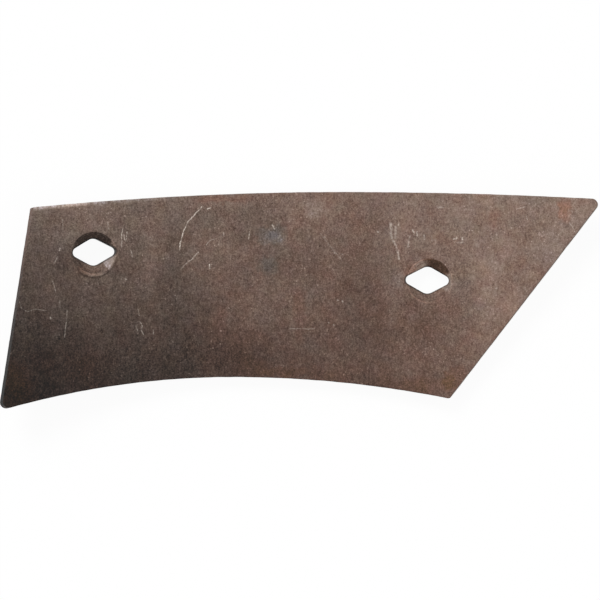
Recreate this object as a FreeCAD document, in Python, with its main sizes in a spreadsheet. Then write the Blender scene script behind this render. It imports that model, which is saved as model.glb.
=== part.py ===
import FreeCAD, Part
import math
import os
import Sketcher

# Plough shin: one flat bar of steel, trimmed to a curved outline, punched with two
# lozenge holes for two-nib plough bolts, countersunk from the working face and
# bent along its length. It lies on its convex back with the working face up.
# X runs along the length, Y across the width, Z up. All sizes are in millimetres.

SIZES = {
    # steel section, seen from the lower long edge
    "thickness": 8.0,
    "flat_left_x": -24.0,
    "flat_right_x": 12.0,
    "left_bend_radius": 420.0,
    "right_bend_radius": 750.0,
    # upper long edge: two arcs that meet at a crown
    "upper_crown_x": 20.9,
    "upper_crown_y": 54.1,
    "upper_left_radius": 1455.0,
    "upper_right_radius": 2065.0,
    # lower long edge: two arcs that meet at a crown
    "lower_crown_x": -33.8,
    "lower_crown_y": -38.6,
    "lower_left_radius": 414.0,
    "lower_right_radius": 551.0,
    # straight ends, measured on the back at mid width, angles from square
    "square_end_x": -141.4,
    "square_end_angle": 9.05,
    "slant_end_x": 113.2,
    "slant_end_angle": 37.6,
    # corner radii in plan
    "square_upper_corner": 0.8,
    "square_lower_corner": 3.2,
    "slant_tip_corner": 2.8,
    "slant_lower_corner": 1.3,
    # rounding of the rims
    "rim_radius": 0.4,
    # lozenge holes
    "lozenge_flats": 12.9,
    "lozenge_side_angle": 28.5,
    "lozenge_nib_radius": 2.45,
    "lozenge_crown_radius": 4.75,
    "left_hole_x": -102.2,
    "left_hole_y": 23.9,
    "left_hole_turn": 2.0,
    "right_hole_x": 63.4,
    "right_hole_y": 9.9,
    "right_hole_turn": -1.5,
    # countersinks, which sit slightly off their holes
    "sink_diameter": 22.2,
    "sink_angle": 90.0,
    "left_sink_shift_x": -0.3,
    "left_sink_shift_y": -1.1,
    "right_sink_shift_x": 1.1,
    "right_sink_shift_y": -0.35,
}

# Cutting tools run past the steel by this many thicknesses.
OVERRUN = "4 * Sizes.thickness"

# Corners of the outline, each with a plan direction in which it is the furthest corner.
CORNERS = {
    "square_lower_corner": FreeCAD.Vector(-1, -2, 0),
    "square_upper_corner": FreeCAD.Vector(-1, 2, 0),
    "slant_lower_corner": FreeCAD.Vector(1, -2, 0),
    "slant_tip_corner": FreeCAD.Vector(1, 2, 0),
}

# Faces that meet at less than this many degrees run smoothly into each other.
SMOOTH_TURN = 5.0

# Angle in degrees from one corner of a lozenge to the next, seen from its centre.
QUARTER_TURN = 90.0

# Least metal, in cubic millimetres, that a cut has to take away.
LEAST_CUT = 1.0

# An edge that runs through the steel is at most this long and rises at least this much,
# both as shares of the thickness.
THROUGH_LENGTH = 1.5
THROUGH_RISE = 0.6

# Distance between the two crowns, and from it the untrimmed bar's half width and the
# reach to each side of the cutters of the ends and of the long edges.
CROWN_SPAN = "(Sizes.upper_crown_y - Sizes.lower_crown_y)"
BAR_HALF_WIDTH = "(0.70 * %s)" % CROWN_SPAN
CUTTER_REACH = "(0.75 * %s)" % CROWN_SPAN
EDGE_CUTTER_REACH = "(2 * %s)" % CROWN_SPAN

# Ends of the untrimmed bar.
BAR_LEFT = "(Sizes.square_end_x - %s * tan(Sizes.square_end_angle * 1deg) - %s)" % (CROWN_SPAN, OVERRUN)
BAR_RIGHT = "(Sizes.slant_end_x + %s * tan(Sizes.slant_end_angle * 1deg) + %s)" % (CROWN_SPAN, OVERRUN)


def make_sheet(doc):
    """Put every driving size into the spreadsheet under its own alias."""
    sheet = doc.addObject("Spreadsheet::Sheet", "Sizes")
    for row, (name, value) in enumerate(SIZES.items(), start=1):
        sheet.set("A%d" % row, name)
        sheet.set("B%d" % row, str(value))
        sheet.setAlias("B%d" % row, name)
    doc.recompute()
    return sheet


def number(owner, expression):
    """Current value of an expression, as a plain number of millimetres or degrees."""
    value = owner.evalExpression(expression)
    return float(getattr(value, "Value", value))


def origin_plane(body, role):
    for feature in body.Origin.OriginFeatures:
        if feature.Role == role:
            return feature
    raise RuntimeError("no origin plane " + role)


def new_sketch(body, name, role, offset=None, turn=None):
    """Sketch on one of the body's own origin planes, moved by bound offsets.

    offset maps an axis letter to an expression; turn is an axis and an angle expression.
    """
    sketch = body.newObject("Sketcher::SketchObject", name)
    sketch.AttachmentSupport = [(origin_plane(body, role), "")]
    sketch.MapMode = "FlatFace"
    if turn:
        axis, angle = turn
        rotation = FreeCAD.Rotation(axis, number(sketch, angle))
        sketch.AttachmentOffset = FreeCAD.Placement(FreeCAD.Vector(), rotation)
        sketch.setExpression("AttachmentOffset.Rotation.Angle", angle)
    for letter, expression in (offset or {}).items():
        sketch.setExpression("AttachmentOffset.Base." + letter, expression)
    return sketch


def bind(sketch, kind, *references, size):
    """Add a dimensional constraint whose value follows an expression."""
    index = sketch.addConstraint(Sketcher.Constraint(kind, *references, number(sketch, size)))
    sketch.setExpression("Constraints[%d]" % index, size)


def pin_point(sketch, geometry, position, x_size, y_size):
    """Fix one point of a sketch at bound distances from the sketch origin."""
    bind(sketch, "DistanceX", -1, 1, geometry, position, size=x_size)
    bind(sketch, "DistanceY", -1, 1, geometry, position, size=y_size)


def add_polygon(sketch, corners):
    """Closed polygon whose corners are pairs of expressions."""
    points = [FreeCAD.Vector(number(sketch, x), number(sketch, y), 0) for x, y in corners]
    lines = []
    for index, point in enumerate(points):
        following = points[(index + 1) % len(points)]
        lines.append(sketch.addGeometry(Part.LineSegment(point, following), False))
    for index, line in enumerate(lines):
        following = lines[(index + 1) % len(lines)]
        sketch.addConstraint(Sketcher.Constraint("Coincident", line, 2, following, 1))
        pin_point(sketch, line, 1, *corners[index])
    return lines


def add_arc(sketch, centre, radius, start, end):
    """Arc with its centre, radius and end angles in degrees, run counter-clockwise."""
    circle = Part.Circle(FreeCAD.Vector(centre[0], centre[1], 0), FreeCAD.Vector(0, 0, 1), radius)
    arc = Part.ArcOfCircle(circle, math.radians(start), math.radians(end))
    return sketch.addGeometry(arc, False)


def add_line(sketch, start, end):
    first = FreeCAD.Vector(start[0], start[1], 0)
    second = FreeCAD.Vector(end[0], end[1], 0)
    return sketch.addGeometry(Part.LineSegment(first, second), False)


def section_sketch(body):
    """Side view of the bent bar: a flat with a tangent bend on each side of it."""
    sketch = new_sketch(body, "bar_section", "XZ_Plane")
    thick = number(sketch, "Sizes.thickness")
    flat_left = number(sketch, "Sizes.flat_left_x")
    flat_right = number(sketch, "Sizes.flat_right_x")
    left_radius = number(sketch, "Sizes.left_bend_radius")
    right_radius = number(sketch, "Sizes.right_bend_radius")
    left_centre = (flat_left, thick + left_radius)
    right_centre = (flat_right, thick + right_radius)
    left_run = flat_left - number(sketch, BAR_LEFT)
    right_run = number(sketch, BAR_RIGHT) - flat_right
    left_angle = -90 - math.degrees(math.asin(left_run / (left_radius + thick)))
    right_angle = -90 + math.degrees(math.asin(right_run / (right_radius + thick)))

    def polar(centre, radius, angle):
        turn = math.radians(angle)
        return (centre[0] + radius * math.cos(turn), centre[1] + radius * math.sin(turn))

    face_flat = add_line(sketch, (flat_left, thick), (flat_right, thick))
    face_right = add_arc(sketch, right_centre, right_radius, -90, right_angle)
    back_flat = add_line(sketch, (flat_left, 0), (flat_right, 0))
    back_right = add_arc(sketch, right_centre, right_radius + thick, -90, right_angle)
    face_left = add_arc(sketch, left_centre, left_radius, left_angle, -90)
    back_left = add_arc(sketch, left_centre, left_radius + thick, left_angle, -90)
    right_end = add_line(
        sketch,
        polar(right_centre, right_radius, right_angle),
        polar(right_centre, right_radius + thick, right_angle),
    )
    left_end = add_line(
        sketch,
        polar(left_centre, left_radius, left_angle),
        polar(left_centre, left_radius + thick, left_angle),
    )

    relations = [
        ("Tangent", face_flat, 2, face_right, 1),
        ("Tangent", face_flat, 1, face_left, 2),
        ("Tangent", back_flat, 2, back_right, 1),
        ("Tangent", back_flat, 1, back_left, 2),
        ("Coincident", face_right, 3, back_right, 3),
        ("Coincident", face_left, 3, back_left, 3),
        ("Coincident", right_end, 1, face_right, 2),
        ("Coincident", right_end, 2, back_right, 2),
        ("Coincident", left_end, 1, face_left, 1),
        ("Coincident", left_end, 2, back_left, 1),
        ("PointOnObject", face_right, 3, right_end),
        ("PointOnObject", face_left, 3, left_end),
        ("Horizontal", face_flat),
        ("Horizontal", back_flat),
        ("PointOnObject", back_flat, 1, -1),
    ]
    for relation in relations:
        sketch.addConstraint(Sketcher.Constraint(*relation))
    bind(sketch, "DistanceX", -1, 1, face_flat, 1, size="Sizes.flat_left_x")
    bind(sketch, "DistanceX", -1, 1, face_flat, 2, size="Sizes.flat_right_x")
    bind(sketch, "DistanceY", -1, 1, face_flat, 1, size="Sizes.thickness")
    bind(sketch, "Radius", face_left, size="Sizes.left_bend_radius")
    bind(sketch, "Radius", face_right, size="Sizes.right_bend_radius")
    bind(sketch, "DistanceX", -1, 1, back_left, 1, size=BAR_LEFT)
    bind(sketch, "DistanceX", -1, 1, back_right, 2, size=BAR_RIGHT)
    return sketch


def add_crowned_edge(sketch, edge, beyond):
    """Region outside one long edge: two arcs that meet at its crown, closed far beyond it."""
    crown_x = number(sketch, "Sizes.%s_crown_x" % edge)
    crown_y = number(sketch, "Sizes.%s_crown_y" % edge)
    left_radius = number(sketch, "Sizes.%s_left_radius" % edge)
    right_radius = number(sketch, "Sizes.%s_right_radius" % edge)
    left_x = number(sketch, BAR_LEFT + " - " + OVERRUN)
    right_x = number(sketch, BAR_RIGHT + " + " + OVERRUN)
    far_y = number(sketch, beyond)
    left_angle = 90 + math.degrees(math.asin((crown_x - left_x) / left_radius))
    right_angle = 90 - math.degrees(math.asin((right_x - crown_x) / right_radius))
    left_y = crown_y - left_radius + left_radius * math.sin(math.radians(left_angle))
    right_y = crown_y - right_radius + right_radius * math.sin(math.radians(right_angle))

    left_arc = add_arc(sketch, (crown_x, crown_y - left_radius), left_radius, 90, left_angle)
    right_arc = add_arc(sketch, (crown_x, crown_y - right_radius), right_radius, right_angle, 90)
    right_side = add_line(sketch, (right_x, right_y), (right_x, far_y))
    far_side = add_line(sketch, (right_x, far_y), (left_x, far_y))
    left_side = add_line(sketch, (left_x, far_y), (left_x, left_y))
    relations = [
        ("Coincident", left_arc, 1, right_arc, 2),
        ("Vertical", left_arc, 3, left_arc, 1),
        ("Vertical", right_arc, 3, right_arc, 2),
        ("Coincident", right_arc, 1, right_side, 1),
        ("Coincident", right_side, 2, far_side, 1),
        ("Coincident", far_side, 2, left_side, 1),
        ("Coincident", left_side, 2, left_arc, 2),
        ("Vertical", right_side),
        ("Vertical", left_side),
        ("Horizontal", far_side),
    ]
    for relation in relations:
        sketch.addConstraint(Sketcher.Constraint(*relation))
    pin_point(sketch, left_arc, 1, "Sizes.%s_crown_x" % edge, "Sizes.%s_crown_y" % edge)
    bind(sketch, "Radius", left_arc, size="Sizes.%s_left_radius" % edge)
    bind(sketch, "Radius", right_arc, size="Sizes.%s_right_radius" % edge)
    pin_point(sketch, far_side, 1, BAR_RIGHT + " + " + OVERRUN, beyond)
    bind(sketch, "DistanceX", -1, 1, far_side, 2, size=BAR_LEFT + " - " + OVERRUN)


def steel_lean(side, x, radius):
    """Angle that the steel is tipped by at x, positive where its normal leans to +X."""
    return "-asin((%s - Sizes.flat_%s_x) / %s)" % (x, side, radius)


def steel_height(side, x, radius):
    """Height of a bent face at x, for the face with this radius."""
    run = "(%s - Sizes.flat_%s_x)" % (x, side)
    centre = "Sizes.thickness + Sizes.%s_bend_radius" % side
    return "%s - sqrt(%s * %s - %s * %s)" % (centre, radius, radius, run, run)


def tangent_sketch(body, name, side, x, y, radius):
    """Sketch laid on the steel at x and y, tangent to the face with this radius."""
    return new_sketch(
        body, name, "XY_Plane",
        offset={"x": x, "y": y, "z": steel_height(side, x, radius)},
        turn=(FreeCAD.Vector(0, 1, 0), steel_lean(side, x, radius)),
    )


def end_cut_sketch(body, end, side):
    """Region beyond one straight end, laid on the back, so that the end is cut square to the steel."""
    outward = -1 if side == "left" else 1
    end_x = "Sizes.%s_end_x" % end
    back_radius = "(Sizes.%s_bend_radius + Sizes.thickness)" % side
    skew = "(%s * tan(Sizes.%s_end_angle * 1deg))" % (CUTTER_REACH, end)
    bar_end = BAR_LEFT if side == "left" else BAR_RIGHT
    far = "(%s - %s + %d * (%s + %s))" % (bar_end, end_x, outward, skew, OVERRUN)
    sketch = tangent_sketch(body, end + "_end_outline", side, end_x, "0", back_radius)
    near_front = ("-" + skew, "-" + CUTTER_REACH)
    near_rear = (skew, CUTTER_REACH)
    add_polygon(sketch, [near_front, near_rear, (far, CUTTER_REACH), (far, "-" + CUTTER_REACH)])
    return sketch


def lozenge_sketch(body, side):
    """Lozenge with two small nib arcs on its turned long axis and two larger arcs across it."""
    sketch = tangent_sketch(
        body, side + "_lozenge", side,
        "Sizes.%s_hole_x" % side, "Sizes.%s_hole_y" % side, "Sizes.%s_bend_radius" % side,
    )
    half_flats = "0.5 * Sizes.lozenge_flats"
    side_angle = "Sizes.lozenge_side_angle * 1deg"
    turn = "Sizes.%s_hole_turn * 1deg" % side
    nib_centre = "(%s - Sizes.lozenge_nib_radius) / sin(%s)" % (half_flats, side_angle)
    crown_centre = "(%s - Sizes.lozenge_crown_radius) / cos(%s)" % (half_flats, side_angle)
    nib_x = "%s * cos(%s)" % (nib_centre, turn)
    nib_y = "%s * sin(%s)" % (nib_centre, turn)
    crown_x = "%s * sin(%s)" % (crown_centre, turn)
    crown_y = "%s * cos(%s)" % (crown_centre, turn)
    open_angle = QUARTER_TURN - number(sketch, "Sizes.lozenge_side_angle")
    turned = number(sketch, "Sizes.%s_hole_turn" % side)

    nib_arc = ("Sizes.lozenge_nib_radius", open_angle)
    crown_arc = ("Sizes.lozenge_crown_radius", QUARTER_TURN - open_angle)
    corners = [
        (nib_arc, nib_x, nib_y),
        (crown_arc, "-" + crown_x, crown_y),
        (nib_arc, "-" + nib_x, "-" + nib_y),
        (crown_arc, crown_x, "-" + crown_y),
    ]
    arcs = []
    for quarter, ((radius, half_sweep), x, y) in enumerate(corners):
        centre = (number(sketch, x), number(sketch, y))
        middle = turned + quarter * QUARTER_TURN
        arc = add_arc(sketch, centre, number(sketch, radius), middle - half_sweep, middle + half_sweep)
        bind(sketch, "Radius", arc, size=radius)
        pin_point(sketch, arc, 3, x, y)
        arcs.append(arc)
    for index, arc in enumerate(arcs):
        following = arcs[(index + 1) % len(arcs)]
        first = sketch.getPoint(arc, 2)
        second = sketch.getPoint(following, 1)
        side_line = add_line(sketch, (first.x, first.y), (second.x, second.y))
        sketch.addConstraint(Sketcher.Constraint("Tangent", arc, 2, side_line, 1))
        sketch.addConstraint(Sketcher.Constraint("Tangent", side_line, 2, following, 1))
    return sketch


def sink_sketch(body, side):
    """Half section of a countersink; its axis, square to the working face, is the sketch's vertical."""
    centre_x = "(Sizes.{0}_hole_x + Sizes.{0}_sink_shift_x)".format(side)
    face_radius = "Sizes.%s_bend_radius" % side
    sketch = new_sketch(
        body, side + "_sink_section", "XZ_Plane",
        offset={
            "x": centre_x,
            "y": steel_height(side, centre_x, face_radius),
            "z": "-(Sizes.{0}_hole_y + Sizes.{0}_sink_shift_y)".format(side),
        },
        turn=(FreeCAD.Vector(0, 0, 1), "-(%s)" % steel_lean(side, centre_x, face_radius)),
    )
    half_angle = "tan(0.5 * Sizes.sink_angle * 1deg)"
    point_depth = "-0.5 * Sizes.sink_diameter / %s" % half_angle
    mouth = "0.5 * Sizes.sink_diameter + Sizes.thickness * %s" % half_angle
    add_polygon(sketch, [("0", point_depth), (mouth, "Sizes.thickness"), ("0", "Sizes.thickness")])
    return sketch


def add_cut(doc, body, kind, name, sketch, **settings):
    """Add a subtractive feature and make sure that it takes metal away."""
    before = body.Shape.Volume
    feature = body.newObject(kind, name)
    feature.Profile = sketch
    for setting, value in settings.items():
        setattr(feature, setting, value)
    doc.recompute()
    if before - body.Shape.Volume < LEAST_CUT:
        raise RuntimeError(name + " cuts nothing")
    return feature


def add_through_cut(doc, body, name, sketch):
    """Cut the sketch's region out of the whole thickness, both ways from its plane."""
    return add_cut(doc, body, "PartDesign::Pocket", name, sketch, Type="ThroughAll", Midplane=True)


def add_turned_cut(doc, body, name, sketch):
    """Cut a full turn of the sketch's region about the sketch's vertical axis."""
    axis = (sketch, ["V_Axis"])
    return add_cut(doc, body, "PartDesign::Groove", name, sketch, ReferenceAxis=axis, Angle=360.0)


def add_rounding(doc, body, name, edges, size):
    """Round the named edges of the body's last feature."""
    base = body.Tip
    rounding = body.newObject("PartDesign::Fillet", name)
    rounding.Base = (base, edges)
    rounding.setExpression("Radius", size)
    doc.recompute()
    return rounding


def normal_at(face, point):
    u, v = face.Surface.parameter(point)
    return face.normalAt(u, v)


def turn_at(shape, edge):
    """Angle in degrees between the two faces that meet at an edge."""
    middle = edge.valueAt(0.5 * (edge.FirstParameter + edge.LastParameter))
    first, second = shape.ancestorsOfType(edge, Part.Face)
    return math.degrees(normal_at(first, middle).getAngle(normal_at(second, middle)))


def runs_through(edge):
    """True for an edge that runs through the thickness."""
    thick = SIZES["thickness"]
    return edge.Length < THROUGH_LENGTH * thick and edge.BoundBox.ZLength > THROUGH_RISE * thick


def sharp_edges(shape):
    """Numbered names of the edges where two faces meet at an angle."""
    return {
        "Edge%d" % index: edge
        for index, edge in enumerate(shape.Edges, start=1)
        if turn_at(shape, edge) > SMOOTH_TURN
    }


def corner_edge(shape, direction):
    """Name of the sharp edge through the thickness that lies furthest in a plan direction."""
    standing = {name: edge for name, edge in sharp_edges(shape).items() if runs_through(edge)}
    return max(standing, key=lambda name: standing[name].CenterOfMass.dot(direction))


def rim_edges(shape):
    """All sharp edges of the outline on the working face and on the back."""
    return [name for name, edge in sharp_edges(shape).items() if not runs_through(edge)]


def build_shin(doc):
    body = doc.addObject("PartDesign::Body", "shin_plate")
    body.Label = "shin_plate"

    bar = body.newObject("PartDesign::Pad", "bent_bar")
    bar.Profile = section_sketch(body)
    bar.Midplane = True
    bar.setExpression("Length", "2 * " + BAR_HALF_WIDTH)
    doc.recompute()

    for edge, beyond in (("upper", EDGE_CUTTER_REACH), ("lower", "-" + EDGE_CUTTER_REACH)):
        outline = new_sketch(body, edge + "_edge_outline", "XY_Plane")
        add_crowned_edge(outline, edge, beyond)
        add_through_cut(doc, body, edge + "_edge", outline)

    for end, side in (("square", "left"), ("slant", "right")):
        add_through_cut(doc, body, end + "_end", end_cut_sketch(body, end, side))

    for corner, direction in CORNERS.items():
        edge = corner_edge(body.Shape, direction)
        add_rounding(doc, body, corner + "_rounding", [edge], "Sizes." + corner)
    add_rounding(doc, body, "rim_rounding", rim_edges(body.Shape), "Sizes.rim_radius")

    for side in ("left", "right"):
        add_through_cut(doc, body, side + "_hole", lozenge_sketch(body, side))
        add_turned_cut(doc, body, side + "_sink", sink_sketch(body, side))
    return body


def check_document(doc, body):
    """Stop on any object that failed, on a loose sketch, or on a shape that is not one sound solid."""
    for item in doc.Objects:
        if "Invalid" in item.State or "Error" in item.State:
            raise RuntimeError("%s failed: %s" % (item.Name, item.State))
        if item.TypeId == "Sketcher::SketchObject" and not item.FullyConstrained:
            raise RuntimeError(item.Name + " is not fully constrained")
    if body.Shape.isNull() or not body.Shape.isValid() or len(body.Shape.Solids) != 1:
        raise RuntimeError(body.Label + " is not one valid solid")


def centre_on_origin(body):
    """Move the part so that the middle of its lowest plane lies at the origin."""
    box = body.Shape.optimalBoundingBox(False, False)
    shift = FreeCAD.Vector(-box.Center.x, -box.Center.y, -box.ZMin)
    body.Placement = FreeCAD.Placement(shift, FreeCAD.Rotation())


def report(body):
    solid = body.Shape.Solids[0]
    box = body.Shape.optimalBoundingBox(False, False)
    shift = body.Placement.Base
    print("size %.2f x %.2f x %.2f" % (box.XLength, box.YLength, box.ZLength))
    print("shift %.3f %.3f %.3f" % (shift.x, shift.y, shift.z))
    print("volume %.0f" % solid.Volume)
    print("centre of mass %.2f %.2f %.2f" % tuple(solid.CenterOfMass))


def main():
    doc = FreeCAD.newDocument("plough_shin")
    make_sheet(doc)
    body = build_shin(doc)
    check_document(doc, body)
    centre_on_origin(body)
    doc.recompute()
    report(body)
    os.makedirs("parts", exist_ok=True)
    body.Shape.exportStep("parts/%s.step" % body.Label)


main()
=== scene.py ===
import math

import bmesh
import bpy
import numpy as np
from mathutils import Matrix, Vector, kdtree, noise


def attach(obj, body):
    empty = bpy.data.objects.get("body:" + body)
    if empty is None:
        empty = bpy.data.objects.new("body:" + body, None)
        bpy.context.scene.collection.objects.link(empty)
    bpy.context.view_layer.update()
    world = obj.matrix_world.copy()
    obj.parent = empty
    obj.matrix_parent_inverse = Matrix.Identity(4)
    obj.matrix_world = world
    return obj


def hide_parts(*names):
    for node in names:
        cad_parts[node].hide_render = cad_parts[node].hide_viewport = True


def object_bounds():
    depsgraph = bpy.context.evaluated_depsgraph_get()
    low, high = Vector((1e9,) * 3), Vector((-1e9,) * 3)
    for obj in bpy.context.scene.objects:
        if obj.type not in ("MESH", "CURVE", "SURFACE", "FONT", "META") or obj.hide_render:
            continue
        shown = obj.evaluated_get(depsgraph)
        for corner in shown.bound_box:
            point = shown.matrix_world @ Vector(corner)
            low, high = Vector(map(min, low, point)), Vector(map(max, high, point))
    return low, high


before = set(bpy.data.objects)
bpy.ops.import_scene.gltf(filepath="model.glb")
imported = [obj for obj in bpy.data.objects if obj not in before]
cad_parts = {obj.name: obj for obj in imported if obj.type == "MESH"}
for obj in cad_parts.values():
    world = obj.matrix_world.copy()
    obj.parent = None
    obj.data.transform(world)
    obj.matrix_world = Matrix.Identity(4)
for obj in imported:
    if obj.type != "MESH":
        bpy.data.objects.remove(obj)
cad_box = [list(corner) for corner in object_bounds()]

# A plough shin: one bent bar of steel with dark, lightly rusted mill scale. It lies on its
# back with the hollow working face up. Lengths are metres, written as millimetres * MM.

MM = 0.001

# The bar, drawn about a point of its own that lies at the shift in the frame. Its bends
# start at the ends of a flat.
SHIFT_X = 0.223 * MM
SHIFT_Y = -0.069 * MM
THICKNESS = 8.0 * MM
FLAT_LEFT_X = -24.0 * MM + SHIFT_X
FLAT_RIGHT_X = 12.0 * MM + SHIFT_X
LEFT_BEND_RADIUS = 420.0 * MM
RIGHT_BEND_RADIUS = 750.0 * MM

# Middles of the countersinks, and the reach of what belongs to a hole from there.
HOLE_REACH = 12.2 * MM
SINKS = {
    "left": (-102.5 * MM + SHIFT_X, 22.8 * MM + SHIFT_Y),
    "right": (64.5 * MM + SHIFT_X, 9.55 * MM + SHIFT_Y),
}

# Size of the steel's surface cells, the closest that two of their corners may lie, and what
# counts as a sliver, as one place and as lying in a cut.
CELL = 1.2 * MM
WELD = 0.03 * MM
SLIVER = 0.1 * WELD
SAME_PLACE = 0.001 * MM
IN_CUT = 0.0001 * MM

# Cosines that tell the faces of the steel apart by how far they lean, and the angle from
# which an edge between two faces is shown sharp.
FACE_LEAN = 0.90
WALL_LEAN = 0.50
END_LEAN = 0.70
SHARP_ANGLE = math.radians(38)

# Relief of the surface, which only goes into the steel, so that the form stays in its box.
# The press left waves across the bar, and both faces are a little uneven.
PRESS_PERIOD = 30.0 * MM
PRESS_CREST_X = -100.0 * MM
PRESS_DEPTH = 0.10 * MM
UNEVEN_SIZE = 16.0 * MM
UNEVEN_DEPTH = 0.12 * MM

# Droop of the faces at their edges, and how far from an edge the facets of the solid have
# given way to the true bend.
DROOP_DEPTH = 0.02 * MM
DROOP_WIDTH = 1.4 * MM
TRUE_BEND_MARGIN = 3.0 * MM

# Nicks and shear marks of the cut edges, drawn out across the thickness. The nick level says
# how much of an edge is nicked.
NICK_DEPTH = 0.10 * MM
NICK_SIZE = 5.0 * MM
NICK_LEVEL = 0.35
SHEAR_DEPTH = 0.05 * MM
SHEAR_SIZE = 1.3 * MM
EDGE_STRETCH = (1.0, 1.0, 0.25)

# Small round dents of both faces.
DENT_SEED = 11
DENT_COUNT = 170
DENT_RADIUS = (0.9 * MM, 3.4 * MM)
DENT_DEPTH = (0.03 * MM, 0.13 * MM)

# Starts that keep the noises of the relief apart, and their share along each axis.
FACE_START = 3.1
BACK_START = 7.7
NICK_START = 5.3
SHEAR_START = 9.9
START_SHARES = (1.0, 0.37, 1.71)


def bent_height(x, base, growth):
    """Height of a face of the bar at x: the working face, or with growth the back."""
    left_run = np.maximum(FLAT_LEFT_X - x, 0)
    right_run = np.maximum(x - FLAT_RIGHT_X, 0)
    left_radius = LEFT_BEND_RADIUS + growth
    right_radius = RIGHT_BEND_RADIUS + growth
    left_rise = left_radius - np.sqrt(left_radius ** 2 - left_run ** 2)
    right_rise = right_radius - np.sqrt(right_radius ** 2 - right_run ** 2)
    return base + left_rise + right_rise


def face_height(x):
    return bent_height(x, THICKNESS, 0.0)


def back_height(x):
    return bent_height(x, 0.0, THICKNESS)


def cut_along(bm, faces, axis, places):
    """Cut faces by planes square to an axis, in halves, so that each cut meets few faces."""
    if not places or not faces:
        return
    middle = len(places) // 2
    normal = Vector((0, 0, 0))
    normal[axis] = 1
    edges = {edge for face in faces for edge in face.edges}
    verts = {vert for face in faces for vert in face.verts}
    result = bmesh.ops.bisect_plane(
        bm, geom=list(verts) + list(edges) + list(faces),
        plane_co=normal * places[middle], plane_no=normal, dist=IN_CUT,
    )
    cut = [item for item in result["geom"] if isinstance(item, bmesh.types.BMFace)]
    low = [face for face in cut if face.calc_center_median()[axis] < places[middle]]
    high = [face for face in cut if face.calc_center_median()[axis] >= places[middle]]
    cut_along(bm, low, axis, places[:middle])
    cut_along(bm, high, axis, places[middle + 1:])


def cut_into_cells(bm):
    """Divide the whole surface into cells, with its outline and its edges as they are."""
    low, high = cad_box
    for axis in range(3):
        places = list(np.arange(low[axis] + 0.5 * CELL, high[axis], CELL))
        cut_along(bm, bm.faces[:], axis, places)
    bmesh.ops.remove_doubles(bm, verts=bm.verts[:], dist=WELD)
    bmesh.ops.dissolve_degenerate(bm, edges=bm.edges[:], dist=SLIVER)


def rough(points, size, start):
    """Smooth noise from -1 to 1 with features of the given size."""
    origin = Vector([share * start for share in START_SHARES])
    return np.array([noise.noise(Vector(point) / size + origin) for point in points])


def distance_to(points, borders):
    """Distance from each point to the nearest border point."""
    tree = kdtree.KDTree(len(borders))
    for index, point in enumerate(borders):
        tree.insert(point, index)
    tree.balance()
    return np.array([tree.find(point)[2] for point in points])


def hole_distance(points):
    """Distance in plan from each point to the middle of the nearest countersink."""
    gaps = [np.hypot(points[:, 0] - x, points[:, 1] - y) for x, y in SINKS.values()]
    return np.minimum(*gaps)


def dent_field(points, random):
    """Depth of many small round dents, 0 or more, over the plan of the bar."""
    low, high = cad_box
    depth = np.zeros(len(points))
    for _ in range(DENT_COUNT):
        centre = random.uniform(low[:2], high[:2])
        radius = random.uniform(*DENT_RADIUS)
        hollow = random.uniform(*DENT_DEPTH)
        reach = np.hypot(points[:, 0] - centre[0], points[:, 1] - centre[1]) / radius
        depth = np.maximum(depth, hollow * np.clip(1 - reach ** 2, 0, 1) ** 2)
    return depth


def press_field(points):
    """Depth of the shallow waves that the press left across the bar."""
    turn = 2 * math.pi * (points[:, 0] - PRESS_CREST_X) / PRESS_PERIOD
    return PRESS_DEPTH * (0.5 - 0.5 * np.cos(turn))


def uneven_field(points, start):
    """Depth of the soft unevenness of a face."""
    return UNEVEN_DEPTH * (0.5 + 0.5 * rough(points, UNEVEN_SIZE, start))


def edge_field(points):
    """Depth of the nicks and shear marks of the cut edges."""
    drawn = points * np.array(EDGE_STRETCH)
    nick = NICK_DEPTH * np.clip(NICK_LEVEL + rough(drawn, NICK_SIZE, NICK_START), 0, 1)
    shear = SHEAR_DEPTH * (0.5 + 0.5 * rough(drawn, SHEAR_SIZE, SHEAR_START))
    return nick + shear


def rise_to_bend(points, on_face, edge_gap):
    """Rise from the facets of the solid to the true bend, which fades out at the edges."""
    x = points[:, 0]
    true_height = np.where(on_face, face_height(x), back_height(x))
    share = np.clip(edge_gap / TRUE_BEND_MARGIN, 0, 1)
    share = share * share * (3 - 2 * share)
    return share * (true_height - points[:, 2])


def relief(points, normals, on_face, on_back):
    """New places of the points, with the true bend and all unevenness of the steel."""
    random = np.random.default_rng(DENT_SEED)
    inner = on_face | on_back
    edge_gap = distance_to(points, points[~inner])
    moved = points.copy()
    moved[:, 2] += np.where(inner, rise_to_bend(points, on_face, edge_gap), 0)

    x = points[:, 0]
    share = (points[:, 2] - back_height(x)) / (face_height(x) - back_height(x))
    share = np.clip(share, 0, 1)
    droop = DROOP_DEPTH * np.clip(1 - edge_gap / DROOP_WIDTH, 0, 1) ** 2
    face_depth = press_field(points) + droop + dent_field(points, random)
    face_depth += uneven_field(points, FACE_START)
    back_depth = droop + dent_field(points, random)
    back_depth += uneven_field(points, BACK_START)
    moved[:, 2] += (1 - share) * back_depth - share * face_depth

    punched = hole_distance(points) < HOLE_REACH
    inward = np.where(inner | punched, 0, edge_field(points))
    moved[:, 0] -= inward * normals[:, 0]
    moved[:, 1] -= inward * normals[:, 1]
    return moved


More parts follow.
